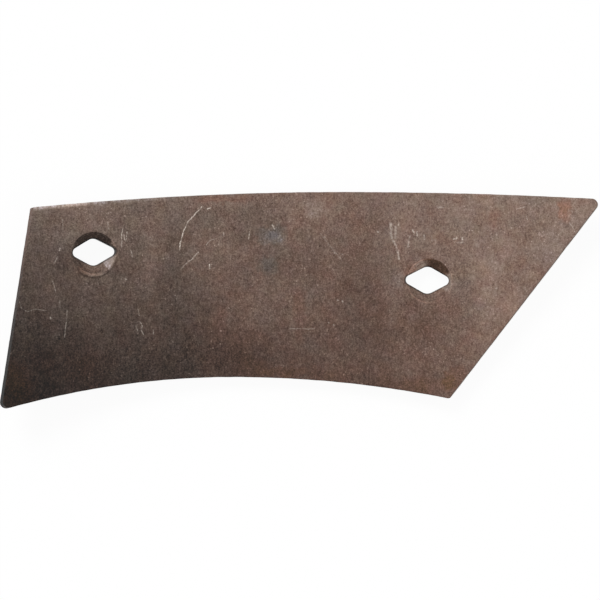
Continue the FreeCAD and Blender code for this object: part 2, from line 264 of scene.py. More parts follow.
def name_regions(mesh):
    """Mark all that is seen from above, the countersinks, bores, cut edges and square end."""
    centres = np.array([polygon.center for polygon in mesh.polygons])
    lean = np.array([polygon.normal.z for polygon in mesh.polygons])
    facing_end = np.array([polygon.normal.x for polygon in mesh.polygons]) < -END_LEAN
    near_hole = hole_distance(centres) < HOLE_REACH
    wall = np.abs(lean) < WALL_LEAN
    regions = {
        "front": lean > WALL_LEAN,
        "sink": (lean >= WALL_LEAN) & (lean < FACE_LEAN) & near_hole,
        "bore": wall & near_hole,
        "cut": wall & ~near_hole,
        "end": wall & ~near_hole & facing_end,
    }
    for name, values in regions.items():
        attribute = mesh.attributes.new(name, "FLOAT", "FACE")
        attribute.data.foreach_set("value", values.astype(np.float32))


def name_gap(mesh, points, walls):
    """Store each point's distance to the nearest bore, in millimetres."""
    near_hole = hole_distance(points) < HOLE_REACH
    gap = distance_to(points, points[walls & near_hole]) / MM
    attribute = mesh.attributes.new("bore_gap", "FLOAT", "POINT")
    attribute.data.foreach_set("value", gap.astype(np.float32))


def make_steel():
    """The shin as a fine mesh, made from the solid's own surface."""
    bm = bmesh.new()
    bm.from_mesh(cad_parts["shin_plate"].data)
    bmesh.ops.remove_doubles(bm, verts=bm.verts[:], dist=SAME_PLACE)
    cut_into_cells(bm)
    bm.normal_update()
    points = np.array([vert.co for vert in bm.verts])
    normals = np.array([vert.normal for vert in bm.verts])
    leans = [[face.normal.z for face in vert.link_faces] for vert in bm.verts]
    on_face = np.array([min(lean) > FACE_LEAN for lean in leans])
    on_back = np.array([max(lean) < -FACE_LEAN for lean in leans])
    walls = np.array([min(abs(z) for z in lean) < WALL_LEAN for lean in leans])
    moved = relief(points, normals, on_face, on_back)
    for vert, place in zip(bm.verts, moved):
        vert.co = place

    mesh = bpy.data.meshes.new("steel_shin")
    bm.to_mesh(mesh)
    bm.free()
    name_regions(mesh)
    name_gap(mesh, points, walls)
    mesh.shade_smooth()
    mesh.set_sharp_from_angle(angle=SHARP_ANGLE)
    steel = bpy.data.objects.new("steel_shin", mesh)
    bpy.context.scene.collection.objects.link(steel)
    return steel


class Graph:
    """Builds the nodes of one material or node group in few words."""

    def __init__(self, tree):
        self.tree = tree

    def feed(self, socket, value):
        if isinstance(value, bpy.types.NodeSocket):
            self.tree.links.new(value, socket)
        else:
            socket.default_value = value

    def add(self, kind, inputs=None, **settings):
        node = self.tree.nodes.new(kind)
        for name, value in settings.items():
            setattr(node, name, value)
        for name, value in (inputs or {}).items():
            self.feed(node.inputs[name], value)
        return node

    def math(self, operation, *values):
        inputs = dict(enumerate(values))
        return self.add("ShaderNodeMath", inputs, operation=operation).outputs[0]

    def product(self, *values):
        result = values[0]
        for value in values[1:]:
            result = self.math("MULTIPLY", result, value)
        return result

    def vector(self, operation, *values, output="Vector"):
        inputs = dict(enumerate(values))
        return self.add("ShaderNodeVectorMath", inputs, operation=operation).outputs[output]

    def scale(self, vector, factor):
        inputs = {0: vector, "Scale": factor}
        return self.add("ShaderNodeVectorMath", inputs, operation="SCALE").outputs[0]

    def remap(self, value, low, high, to_low=0.0, to_high=1.0, smooth=False):
        """The value, spread from one range to another and held inside that."""
        inputs = {
            "Value": value, "From Min": low, "From Max": high, "To Min": to_low, "To Max": to_high,
        }
        kind = "SMOOTHSTEP" if smooth else "LINEAR"
        return self.add("ShaderNodeMapRange", inputs, interpolation_type=kind).outputs["Result"]

    def noise(self, place, size, seed, detail=2.0, roughness=0.5):
        """Noise about 0, with features of the given size in metres."""
        inputs = {
            "Vector": place, "W": seed, "Scale": 1 / size, "Detail": detail, "Roughness": roughness,
        }
        value = self.add("ShaderNodeTexNoise", inputs, noise_dimensions="4D").outputs[0]
        return self.math("SUBTRACT", value, 0.5)

    def mix(self, factor, first, second):
        """The first colour where the factor is 0, the second where it is 1."""
        node = self.add("ShaderNodeMix", data_type="RGBA")
        self.feed(node.inputs[0], factor)
        self.feed(node.inputs[6], first)
        self.feed(node.inputs[7], second)
        return node.outputs[2]

    def blend(self, factor, first, second):
        """The first number where the factor is 0, the second where it is 1."""
        node = self.add("ShaderNodeMix", data_type="FLOAT")
        self.feed(node.inputs[0], factor)
        self.feed(node.inputs[2], first)
        self.feed(node.inputs[3], second)
        return node.outputs[0]

    def attribute(self, name):
        return self.add("ShaderNodeAttribute", attribute_name=name).outputs["Fac"]

    def group(self, tree, **inputs):
        return self.add("ShaderNodeGroup", inputs, node_tree=tree).outputs


# Screen levels run from 0 to the white one, and the gamma turns them to light.
SCREEN_WHITE = 255.0
SCREEN_GAMMA = 2.2


def linear(level):
    """Light of a screen level, by the exact sRGB curve."""
    share = level / SCREEN_WHITE
    return share / 12.92 if share <= 0.04045 else ((share + 0.055) / 1.055) ** 2.4


def srgb(red, green, blue):
    """A colour written as it looks on a screen, 0 to 255, for a shader socket."""
    return tuple(linear(level) for level in (red, green, blue)) + (1.0,)


def new_group(name, vectors, numbers, results):
    """Empty node group with its inputs and outputs, ready to be filled."""
    tree = bpy.data.node_groups.new(name, "ShaderNodeTree")
    for title in vectors:
        tree.interface.new_socket(title, in_out="INPUT", socket_type="NodeSocketVector")
    for title in numbers:
        tree.interface.new_socket(title, in_out="INPUT", socket_type="NodeSocketFloat")
    for title in results:
        tree.interface.new_socket(title, in_out="OUTPUT", socket_type="NodeSocketFloat")
    given = tree.nodes.new("NodeGroupInput").outputs
    result = tree.nodes.new("NodeGroupOutput").inputs
    return tree, given, result


# Tone of the scale, as screen levels of red: its mean at mid length and its rise along the length, the
# fall across the width, which fades towards the slanted end, and the least tone. The rise and the fall
# are painted shade, darker towards the square end and towards the lower edge.
TONE_MIDDLE = 95.0
SHADE_RISE = 0.186 / MM
SHADE_FALL_MIDDLE = 38.0
SHADE_FALL_RISE = -0.23 / MM
WIDTH_TOP_Y = 50.0 * MM
WIDTH_BOTTOM_Y = -46.0 * MM
LEAST_TONE = 8.0

# Painted shade of the press bands across the bar, where the facets that the press left take the light
# differently: middle, half width and change of tone.
PRESS_SHADE_BANDS = {
    "left_light": (-99.0 * MM, 14.0 * MM, 4.0),
    "left_dark": (-62.0 * MM, 12.0 * MM, -8.0),
    "flat_light": (-1.0 * MM, 7.0 * MM, 2.0),
    "right_dark": (34.0 * MM, 24.0 * MM, -10.0),
}

# Mottling and grain of the scale: size of the features, detail, and strength in levels.
GRAIN = {
    "blotches": (14.0 * MM, 2.0, 26.0),
    "mottle": (4.5 * MM, 2.0, 22.0),
    "grain": (1.3 * MM, 2.0, 46.0),
    "fine_grain": (0.62 * MM, 1.0, 80.0),
}

# Fine streaks across the bar, dark specks, and light specks that are painted glints and cluster. A
# spread is the values of a noise where a mark starts and is full, and then, where it isn't from 0 to 1,
# its strength at both.
STREAK_SIZE = 0.8 * MM
STREAK_STRETCH = (1.0, 0.28, 1.0)
STREAK_LEVEL = 34.0
SPECK_SIZE = 0.95 * MM
GLINT_LEVEL = 60.0
GLINT_SPREAD = (0.13, 0.27)
DARK_SPECK_LEVEL = -26.0
DARK_SPECK_SPREAD = (-0.13, -0.27)
CLUSTER_SIZE = 13.0 * MM
CLUSTER_SPREAD = (-0.08, 0.16, 0.25, 1.0)

# Warmth of the scale: -2 is bluish, -1 olive, 0 brown, 1 reddish, 2 rust and 3 orange rust.
WARMTH_COLOURS = {
    -2.0: srgb(255, 237, 236),
    -1.0: srgb(255, 226, 208),
    0.0: srgb(255, 214, 192),
    1.0: srgb(255, 196, 171),
    2.0: srgb(255, 192, 152),
    3.0: srgb(255, 196, 140),
}

# The scale is warmest near mid length, cools towards both ends and warms towards the lower
# edge. It swells at two sizes, each with its strength, and its light grain is less warm.
WARM_MIDDLE_X = 15.0 * MM
WARM_REACH = 150.0 * MM
WARM_MIDDLE = 0.5
WARM_FAR = -0.12
WARM_FALL = -0.0055 / MM
WARM_SWELLS = ((11.0 * MM, 2.2), (3.0 * MM, 0.8))
GRAIN_WARMTH = -0.022

# Soft patches of the working face, in millimetres: middle, half width and half height, then
# change of tone and change of warmth.
PATCHES = {
    # Bluish smudges.
    "blue_smudge_high": (-11.0, 33.0, 6.0, 8.0, -7.0, -1.5),
    "blue_shade_high": (-17.0, 32.0, 7.0, 6.0, -4.0, -1.4),
    "blue_smudge_low": (-15.5, 17.0, 6.5, 6.5, -5.0, -1.4),
    # Light, tan and grey places.
    "tan_patch": (7.2, 46.0, 8.5, 7.0, 10.0, -0.6),
    "light_middle": (-24.0, -3.0, 30.0, 20.0, 8.0, 0.0),
    "light_left": (-118.0, 0.0, 20.0, 14.0, 6.0, -0.1),
    "light_left_high": (-110.0, 26.0, 14.0, 34.0, 6.0, 0.0),
    "light_upper_middle": (-45.0, 17.0, 14.0, 18.0, 6.0, 0.0),
    "light_upper_right": (95.0, 22.0, 16.0, 18.0, 8.0, -0.2),
    "grey_tip": (128.0, 29.0, 14.0, 12.0, 4.0, -0.4),
    "streak_field": (47.5, 34.0, 6.5, 9.0, 2.0, -0.4),
    "light_low_right": (30.0, -37.0, 20.0, 12.0, 5.0, 0.3),
    "light_below_hole_1": (-96.0, 10.0, 6.0, 5.0, 6.0, 0.0),
    "light_above_hole_1": (-96.0, 36.0, 6.0, 5.0, 6.0, -0.2),
    "light_left_of_hole_2": (49.5, 10.0, 4.0, 5.0, 9.0, -0.6),
    "grey_band": (92.0, -2.0, 17.0, 30.0, 8.0, 0.0),
    "light_slant": (105.5, -3.0, 9.0, 15.0, 11.0, 0.0),
    "light_upper_edge": (30.0, 43.0, 7.0, 7.0, 12.0, 0.0),
    "light_right_edge": (92.0, 51.0, 8.0, 6.0, 9.0, 0.0),
    "light_low_middle": (-40.0, -9.0, 8.0, 8.0, 10.0, 0.0),
    "light_left_edge": (-117.0, 46.0, 9.0, 6.0, 8.0, 0.0),
    "light_band_left": (-75.0, 14.0, 6.0, 30.0, 8.0, 0.0),
    "light_band_middle": (-33.0, 14.0, 7.0, 18.0, 5.0, 0.0),
    # Dark places.
    "dark_high": (-28.0, 40.0, 26.0, 16.0, -10.0, 0.0),
    "dark_blotch": (-34.0, -29.0, 24.0, 12.0, -10.0, 0.1),
    "dark_low_left": (-78.0, -38.0, 36.0, 16.0, -6.0, 0.0),
    "dark_flat": (-10.0, 20.0, 16.0, 14.0, -9.0, 0.0),
    "dark_beside_hole": (84.0, 8.0, 11.0, 13.0, -7.0, 0.0),
    "dark_left_of_hole_1": (-117.0, 18.5, 6.0, 8.0, -10.0, 0.3),
    "dark_above_hole_2": (58.5, 22.5, 7.0, 6.0, -12.0, 0.3),
    "dark_below_hole_2": (56.0, -2.5, 8.0, 7.0, -12.0, 0.2),
    "dark_right_of_hole_2": (86.0, -9.0, 8.0, 9.0, -8.0, 0.0),
    "dark_tip_edge": (118.0, 50.0, 9.0, 6.0, -9.0, 0.0),
    "dark_low_middle": (-53.0, -26.0, 10.0, 16.0, -10.0, 0.0),
    "dark_upper_left": (-78.0, 46.0, 10.0, 7.0, -9.0, 0.0),
    "dark_upper_middle": (-47.0, 41.0, 10.0, 10.0, -8.0, 0.0),
    "dark_band_middle": (8.0, 18.0, 7.0, 22.0, -7.0, 0.0),
    # Rust and reddish scale.
    "rust_tip": (131.5, 44.5, 5.0, 8.0, 8.0, 1.6),
    "rust_tip_edge": (138.0, 48.0, 10.0, 3.5, 0.0, 0.4),
    "rust_tip_left": (112.0, 34.0, 8.0, 10.0, -2.0, 0.4),
    "rust_upper_edge": (-38.0, 50.5, 20.0, 3.0, 0.0, 0.9),
    "rust_lower_edge": (-9.0, -36.5, 18.0, 3.5, 1.0, 0.9),
    "rust_lower_right": (57.0, -43.0, 23.0, 6.5, -5.0, 0.9),
    "rust_slant_corner": (74.5, -41.0, 4.5, 7.0, -4.0, 1.5),
    "rust_square_corner": (-144.0, -46.0, 16.0, 24.0, 2.0, 2.3),
    "rust_low_left": (-118.0, -36.0, 36.0, 20.0, -2.0, 0.7),
    "rust_low_middle": (-36.0, -24.0, 26.0, 20.0, 0.0, 0.5),
    "rust_hole": (55.5, 14.0, 5.5, 8.0, 0.0, 0.7),
    "rust_below_hole": (64.0, -11.0, 16.0, 16.0, -7.0, 0.4),
    "rust_upper_right": (97.0, 41.0, 4.0, 9.0, 0.0, 0.6),
    "red_band": (0.0, -5.0, 5.0, 18.0, 0.0, 0.7),
    "red_lower_edge": (10.0, -37.0, 14.0, 6.0, 0.0, 0.7),
    "red_lower_left": (-19.0, -34.0, 14.0, 7.0, 0.0, 0.6),
    "red_slant_corner": (80.0, -39.0, 9.0, 10.0, 0.0, 0.8),
}

# Where soft marks start and are full: a patch and a shade as shares of their reach, a scratch
# as shares of its width, and a shade's sector from 0 at its border to 1 along its middle.
PATCH_CORE = 0.25
SCRATCH_START = 0.65
SCRATCH_CORE = 0.1
SHADE_CORE = 0.4
SECTOR_CORE = 0.55

# Light scratches of the working face, in millimetres: width, strength from 0 to 1, and the
# points that the scratch runs through.
SCRATCHES = {
    "hook_top": (0.7, 0.75, [(-49, 46.5), (-50, 45), (-53, 42), (-55.7, 39)]),
    "hook": (0.7, 0.75, [(-55.7, 39), (-57.7, 35), (-58.8, 31.5), (-59.7, 28)]),
    "hook_end": (0.8, 0.9, [(-59.7, 28), (-59.9, 25)]),
    "hook_dash": (0.7, 0.6, [(-46, 45.5), (-44.5, 46)]),
    "slash": (0.6, 0.4, [(-58.9, 15.7), (-57.9, 17), (-55.5, 19), (-53.5, 20.5)]),
    "slash_end": (0.7, 0.5, [(-53.5, 20.5), (-52, 22.2), (-50.5, 24)]),
    "tick": (0.8, 0.8, [(-45, 17.7), (-44.8, 15.5)]),
    "arc": (0.5, 0.35, [(-46.7, 27.5), (-44.5, 30), (-41, 30.5)]),
    "pair_left": (0.6, 0.5, [(-88.2, 35.4), (-88.7, 32.9), (-88.7, 30.4)]),
    "pair_low": (0.6, 0.35, [(-88.5, 29.4), (-88.7, 26.4)]),
    "pair_right": (0.6, 0.48, [(-86, 33.9), (-86.2, 31.4), (-86.7, 29.4)]),
    "pair_middle": (0.6, 0.45, [(-87.5, 32.4), (-87.2, 29.9)]),
    "beside_pair": (0.6, 0.3, [(-84, 24.9), (-83.3, 21.4)]),
    "left_high": (0.9, 0.4, [(-118.9, 25.8), (-119.1, 24.6)]),
    "left_slash": (0.8, 0.4, [(-120.1, 21.3), (-121.6, 18.4)]),
    "left_bend": (0.6, 0.4, [(-122.5, 9.4), (-121.6, 6.5), (-121.1, 4)]),
    "left_line": (0.6, 0.2, [(-117.7, 40.2), (-117.4, 33.8)]),
    "low_streak": (0.6, 0.26, [(-115.5, -5), (-115.7, -9.4), (-116.2, -13.4), (-116.7, -18.4)]),
    "low_smudge": (0.8, 0.25, [(-119.1, -0.5), (-119.1, -3.5)]),
    "scribble": (0.6, 0.2, [(-138.5, -1), (-137.6, -4), (-134.7, -5.9), (-131.3, -4.5), (-125.5, -5.5)]),
    "fork": (0.6, 0.42, [(-79.6, -11), (-78.3, -13), (-79, -14.8), (-78, -17.2)]),
    "fork_left": (0.6, 0.25, [(-81.5, -13), (-80.8, -15.5)]),
    "fork_high": (0.6, 0.2, [(-80.8, -4), (-80, -7.8)]),
    "fork_right": (0.6, 0.25, [(-73, -15), (-72.8, -17)]),
    "streak_top": (1.7, 0.4, [(45.6, 38), (45.7, 35)]),
    "streak_mid": (1.5, 0.34, [(45.5, 33.5), (46.2, 31)]),
    "streak_dot": (1.1, 0.45, [(49.5, 38), (49.6, 37.5)]),
    "streak_long": (1.3, 0.3, [(46.5, 30), (47.5, 28.5), (48.5, 26)]),
    "streak_end": (1.3, 0.45, [(48.5, 26), (49.2, 23.5), (49.7, 20.5)]),
    "streak_inner": (1.4, 0.32, [(48, 36.5), (48, 31)]),
    "streak_right": (1.0, 0.3, [(55.2, 32), (54.5, 29.5), (54.2, 26.5)]),
    "comma": (0.9, 0.5, [(56.5, 35), (57.4, 33.5)]),
    "comma_bright": (0.9, 0.55, [(58.7, 34), (58.9, 32)]),
    "comma_right": (1.2, 0.3, [(62.2, 32.5), (62.4, 30.5)]),
    "comma_far": (0.9, 0.3, [(65.9, 32), (66.2, 29.5)]),
    "comma_low": (1.4, 0.25, [(67.4, 30), (68.4, 28)]),
    "dot_pair": (1.2, 0.25, [(68.9, 46.2), (71.4, 46.2)]),
    "dot_left": (1.2, 0.4, [(39, 34), (39.5, 34)]),
    "eye_left": (1.1, 0.5, [(76.9, 30.4), (78.6, 30.9)]),
    "eye_right": (1.1, 0.55, [(81.3, 30.9), (81.3, 30.2)]),
    "eye_low": (1.0, 0.35, [(78.3, 28.7), (81.8, 28.7)]),
    "broad": (2.0, 0.2, [(87.8, 29.9), (88.8, 26.9)]),
    "tip_dash": (0.6, 0.4, [(108.1, 45.3), (112, 46.3)]),
    "tip_slash": (0.5, 0.45, [(134.1, 38.2), (135.6, 36.3), (136.5, 33.8)]),
    "tip_dots": (0.7, 0.25, [(113, 41.8), (113.5, 39.8)]),
    "speck": (0.8, 0.6, [(97.7, 6), (98.2, 5.7)]),
    "hairline": (0.5, 0.26, [(-5, -14.5), (7.5, -14.5)]),
    "dash_high": (0.6, 0.45, [(-25, 34), (-25.5, 30.5)]),
    "smudge_top": (0.9, 0.4, [(-13.5, 37.5), (-12.5, 35.5)]),
    "smudge_low": (0.9, 0.45, [(-9.5, 32.5), (-10.5, 31)]),
    "light_high": (0.7, 0.3, [(-38, 33.5), (-38, 32)]),
    "chain": (0.9, 0.16, [(10.5, 33), (13, 30), (16, 26), (19, 22.5), (21, 20)]),
    "dot_right": (0.8, 0.4, [(19, 0), (19.2, -0.2)]),
    "dot_low": (1.0, 0.4, [(17, -12.5), (17.2, -12.7)]),
    "cluster_high": (0.8, 0.4, [(12.6, 31.5), (13, 31.2)]),
    "cluster_middle": (0.8, 0.45, [(17.6, 23.4), (18.3, 23.2)]),
    "cluster_right": (0.7, 0.4, [(21.2, 23), (21.6, 22.8)]),
    "cluster_low": (0.8, 0.45, [(21.4, -0.6), (21.6, -1)]),
    "cluster_lowest": (0.7, 0.4, [(14.5, -11.2), (14.7, -11.6)]),
    "spot_high": (0.9, 0.25, [(-95.6, 38.8), (-95.1, 35.4)]),
    "spot_low": (1.1, 0.4, [(-86.7, 10.5), (-86.5, 10.2)]),
    "stub": (1.0, 0.35, [(-123.5, -8.7), (-123.3, -9.2)]),
}
SCRATCH_COLOUR = srgb(212, 200, 188)

# Painted light and shade of the countersinks, and light and dark rings of their rims: hole, direction
# from its middle in degrees, half spread, distance and half width in millimetres, change of tone and
# change of warmth. In the left countersink the upper wall is darkened as painted shade, the lower wall
# lightened as painted light, and the lower right has a painted highlight. The right one is darker at its
# upper right and lighter at its upper left and at its right.
SINK_LIGHT_AND_SHADE = {
    "left_top": ("left", 93.0, 70.0, 8.0, 6.0, -40.0, 0.5),
    "left_bottom": ("left", 268.0, 50.0, 8.5, 6.0, 12.0, 0.2),
    "left_highlight": ("left", 337.0, 28.0, 8.2, 3.6, 56.0, -1.6),
    "right_top": ("right", 56.0, 42.0, 8.0, 6.0, -34.0, 1.5),
    "right_left": ("right", 142.0, 44.0, 8.5, 6.0, 50.0, -0.6),
    "right_bright": ("right", 356.0, 32.0, 8.6, 3.6, 24.0, -0.9),
}
# Thin light lines near the rims are painted highlights where the edges catch the light; the dark lines
# and rings darken the tone there.
RIM_HIGHLIGHTS_AND_RINGS = {
    "left_bottom_light": ("left", 262.0, 36.0, 10.3, 0.7, 14.0, 0.0),
    "left_bottom_dark": ("left", 262.0, 46.0, 11.6, 0.6, -18.0, 0.6),
    "left_ring": ("left", 250.0, 50.0, 8.6, 0.5, -16.0, 0.6),
    "left_line_dark": ("left", 255.0, 44.0, 9.3, 0.35, -16.0, 0.3),
    "left_line_light": ("left", 245.0, 36.0, 9.9, 0.3, 18.0, 0.3),
    "left_right": ("left", 325.0, 40.0, 11.0, 1.0, -16.0, 0.2),
    "left_right_high": ("left", 14.0, 30.0, 10.9, 1.1, 20.0, 0.0),
    "right_right_light": ("right", 12.0, 32.0, 10.9, 0.6, 12.0, -0.2),
    "right_bottom_light": ("right", 262.0, 50.0, 10.9, 0.5, 6.0, 0.0),
    "right_ring": ("right", 150.0, 50.0, 9.3, 0.5, -14.0, 0.5),
    "right_line_top": ("right", 108.0, 34.0, 10.9, 0.45, 17.0, 0.5),
    "right_line_low": ("right", 228.0, 44.0, 10.9, 0.55, 18.0, 0.1),
    "right_line_right": ("right", 357.0, 30.0, 11.5, 0.35, 22.0, -0.2),
}

# Grain that the countersinks have on top of that of the scale.
SINK_GRAIN_SIZE = 1.1 * MM
SINK_GRAIN_LEVEL = 52.0

# Painted shade round each opening, a dark line where the countersink meets the bore: its level, and the
# distances from the bore, in millimetres, at which it ends and is full. The walls of the bores have a
# tone of their own.
BORE_SHADE_LEVEL = -44.0
BORE_SHADE_OUTER = 0.9
BORE_SHADE_INNER = 0.3
BORE_TONE = 52.0

# Cut edges: a tone to which a share of the scale's is added, their warmth, and striations
# across them. The square end follows the working face, with a level, a share and a warmth of
# its own.
CUT_TONE = 40.0
CUT_SHARE = 0.60
CUT_WARMTH = 0.2
END_LEVEL = -42.0
END_SHARE = 1.4
END_WARMTH = 0.8
STRIATION_STRETCH = (1.0, 1.0, 0.10)
STRIATION_SIZE = 0.7 * MM
STRIATION_LEVEL = 42.0

# Painted highlight along the left of the upper edge, where the edge catches the light. The edge is an
# arc: that arc's middle and radius, and how far from the edge the highlight starts and is full. Then,
# for each stretch of it, where it starts to fade, where it ends, its change of tone and its change of
# warmth.
UPPER_ARC_MIDDLE = (20.9 * MM + SHIFT_X, -1400.9 * MM + SHIFT_Y, 0.0)
UPPER_ARC_RADIUS = 1455.0 * MM
EDGE_HIGHLIGHT_WIDTH = 2.3 * MM
EDGE_HIGHLIGHT_CORE = 0.3 * MM
EDGE_HIGHLIGHTS = {
    "strong": (-110.0 * MM, -98.0 * MM, 50.0, 0.0),
    "weak": (-92.0 * MM, -48.0 * MM, 26.0, -1.4),
}

# Soft patches of the back, written as those of the working face are.
BACK_PATCHES = {
    "rust_end": (-128.0, 18.0, 16.0, 24.0, 3.0, 1.3),
    "rust_middle": (-30.0, -18.0, 26.0, 14.0, 2.0, 0.9),
    "rust_tip": (122.0, 40.0, 16.0, 12.0, 4.0, 1.5),
    "dark_rest": (-6.0, 10.0, 20.0, 34.0, -12.0, -0.3),
    "rust_low": (52.0, -34.0, 20.0, 9.0, 3.0, 1.1),
    "grey_scuff": (66.0, 24.0, 22.0, 16.0, 8.0, -1.0),
    "dark_left": (-92.0, -30.0, 22.0, 14.0, -8.0, 0.2),
}

# What makes the marks uneven: how far they wander, and the breaks and beads along them.
WANDER_SIZE = 2.5 * MM
MARK_WANDER = 0.7 * MM
PATCH_WANDER = 6.0 * MM
BREAK_SIZE = 3.0 * MM
BREAK_SPREAD = (-0.16, 0.02, 0.3, 1.0)
BEAD_SIZE = 0.8 * MM
BEAD_SPREAD = (-0.14, 0.14, 0.15, 1.3)

# Drift of the colour between greenish, reddish and bluish brown.
DRIFT_SIZE = 7.0 * MM
GREEN_DRIFT = 0.13
BLUE_DRIFT = 0.20

# Fine relief, made by the shader: pits, to which swells, striations and scratches are added
# with these shares, and the depth and strength of it all.
PIT_SIZE = 0.9 * MM
SWELL_SIZE = 4.0 * MM
SWELL_SHARE = 2.0
STRIATION_SHARE = 1.5
SCRATCH_SHARE = -0.5
BUMP_DEPTH = 0.10 * MM
BUMP_STRENGTH = 0.6

# Roughness of the scale, from the bottoms of its pits to its crests, and of the scratches,
# and how metallic and how shiny both are.
ROUGHNESS_SPREAD = (-0.2, 0.2, 0.62, 0.80)
SCRATCH_ROUGHNESS = 0.42
METALLIC = 0.15
SPECULAR = 0.25

# Seeds that keep the noises of the shader apart. The grain and the swells of the warmth
# count up from theirs.
SEEDS = {
    "grain": 0,
    "streaks": 6,
    "clusters": 7,
    "specks": 8,
    "breaks": 9,
    "warmth": 10,
    "beads": 13,
    "striations": 14,
    "green": 15,
    "blue": 16,
    "sinks": 17,
    "pits": 21,
    "swell": 22,
}


def patch_group():
    """Node group: adds its level and its warmth inside an ellipse with a soft border."""
    vectors = ("Place", "Middle", "Reach")
    numbers = ("Tone", "Warmth", "Level", "Change")
    tree, given, result = new_group("soft_patch", vectors, numbers, ("Tone", "Warmth"))
    graph = Graph(tree)
    offset = graph.vector("SUBTRACT", given["Place"], given["Middle"])
    gap = graph.vector("LENGTH", graph.vector("DIVIDE", offset, given["Reach"]), output="Value")
    mask = graph.remap(gap, 1.0, PATCH_CORE, smooth=True)
    graph.feed(result["Tone"], graph.math("MULTIPLY_ADD", mask, given["Level"], given["Tone"]))
    graph.feed(result["Warmth"], graph.math("MULTIPLY_ADD", mask, given["Change"], given["Warmth"]))
    return tree


def scratch_group():
    """Node group: raises a mask to its level on a line from Start along Run."""
    numbers = ("Marks", "Width", "Level")
    tree, given, result = new_group("scratch", ("Place", "Start", "Run"), numbers, ("Marks",))
    graph = Graph(tree)
    offset = graph.vector("SUBTRACT", given["Place"], given["Start"])
    along = graph.vector("DOT_PRODUCT", offset, given["Run"], output="Value")
    square = graph.vector("DOT_PRODUCT", given["Run"], given["Run"], output="Value")
    share = graph.math("MAXIMUM", graph.math("DIVIDE", along, square), 0.0)
    nearest = graph.scale(given["Run"], graph.math("MINIMUM", share, 1.0))
    gap = graph.vector("DISTANCE", offset, nearest, output="Value")
    outer = graph.math("MULTIPLY", given["Width"], SCRATCH_START)
    inner = graph.math("MULTIPLY", given["Width"], SCRATCH_CORE)
    mask = graph.remap(gap, outer, inner, smooth=True)
    mask = graph.math("MULTIPLY", mask, given["Level"])
    graph.feed(result["Marks"], graph.math("MAXIMUM", mask, given["Marks"]))
    return tree


def shade_group():
    """Node group: adds its level and its warmth in a sector of a ring with soft borders."""
    vectors = ("Place", "Middle", "Toward")
    numbers = ("Tone", "Warmth", "Share", "Edge", "Radius", "Width", "Level", "Change")
    tree, given, result = new_group("ring_shade", vectors, numbers, ("Tone", "Warmth"))
    graph = Graph(tree)
    offset = graph.vector("SUBTRACT", given["Place"], given["Middle"])
    direction = graph.vector("NORMALIZE", offset)
    facing = graph.vector("DOT_PRODUCT", direction, given["Toward"], output="Value")
    core = graph.math("MULTIPLY_ADD", given["Edge"], 1 - SECTOR_CORE, SECTOR_CORE)
    sector = graph.remap(facing, given["Edge"], core, smooth=True)
    gap = graph.math("SUBTRACT", graph.vector("LENGTH", offset, output="Value"), given["Radius"])
    core = graph.math("MULTIPLY", given["Width"], SHADE_CORE)
    ring = graph.remap(graph.math("ABSOLUTE", gap), given["Width"], core, smooth=True)
    mask = graph.product(sector, ring, given["Share"])
    graph.feed(result["Tone"], graph.math("MULTIPLY_ADD", mask, given["Level"], given["Tone"]))
    graph.feed(result["Warmth"], graph.math("MULTIPLY_ADD", mask, given["Change"], given["Warmth"]))
    return tree


def tone_with_painted_shade(graph, x, y):
    """Tone of the scale over the whole bar, with painted shade along and across it and in bands where
    the press left facets.
    """
    across = graph.remap(y, WIDTH_TOP_Y, WIDTH_BOTTOM_Y, -0.5, 0.5)
    # Painted shade: the tone rises towards the slanted end and falls towards the lower edge.
    mean = graph.math("MULTIPLY_ADD", x, SHADE_RISE, TONE_MIDDLE)
    fall = graph.math("MAXIMUM", graph.math("MULTIPLY_ADD", x, SHADE_FALL_RISE, SHADE_FALL_MIDDLE), 0.0)
    tone = graph.math("SUBTRACT", mean, graph.math("MULTIPLY", across, fall))
    # Painted shade in bands across the bar.
    for middle, reach, level in PRESS_SHADE_BANDS.values():
        gap = graph.math("ABSOLUTE", graph.math("SUBTRACT", x, middle))
        tone = graph.math("ADD", tone, graph.remap(gap, reach, 0.0, 0.0, level, smooth=True))
    return tone


def add_grain(graph, place, tone):
    """Mottling, grain, fine streaks, dark specks, and light specks that are painted glints."""
    for seed, (size, detail, strength) in enumerate(GRAIN.values(), SEEDS["grain"]):
        grain = graph.noise(place, size, seed, detail)
        tone = graph.math("MULTIPLY_ADD", grain, strength, tone)
    stretched = graph.vector("MULTIPLY", place, STREAK_STRETCH)
    streaks = graph.noise(stretched, STREAK_SIZE, SEEDS["streaks"], detail=1.0)
    tone = graph.math("MULTIPLY_ADD", streaks, STREAK_LEVEL, tone)
    clusters = graph.remap(graph.noise(place, CLUSTER_SIZE, SEEDS["clusters"]), *CLUSTER_SPREAD)
    specks = graph.noise(place, SPECK_SIZE, SEEDS["specks"], detail=1.0)
    # Light specks, painted glints, where the clusters are.
    light = graph.product(graph.remap(specks, *GLINT_SPREAD), clusters)
    tone = graph.math("MULTIPLY_ADD", light, GLINT_LEVEL, tone)
    dark = graph.remap(specks, *DARK_SPECK_SPREAD)
    return graph.math("MULTIPLY_ADD", dark, DARK_SPECK_LEVEL, tone)


def base_warmth(graph, place, x, y):
    """Warmth of the scale: redder at mid length and at the lower edge, and uneven all over."""
    gap = graph.math("ABSOLUTE", graph.math("SUBTRACT", x, WARM_MIDDLE_X))
    warmth = graph.remap(gap, 0.0, WARM_REACH, WARM_MIDDLE, WARM_FAR, smooth=True)
    warmth = graph.math("MULTIPLY_ADD", y, WARM_FALL, warmth)
    for seed, (size, strength) in enumerate(WARM_SWELLS, SEEDS["warmth"]):
        swell = graph.noise(place, size, seed)
        warmth = graph.math("MULTIPLY_ADD", swell, strength, warmth)
    return warmth


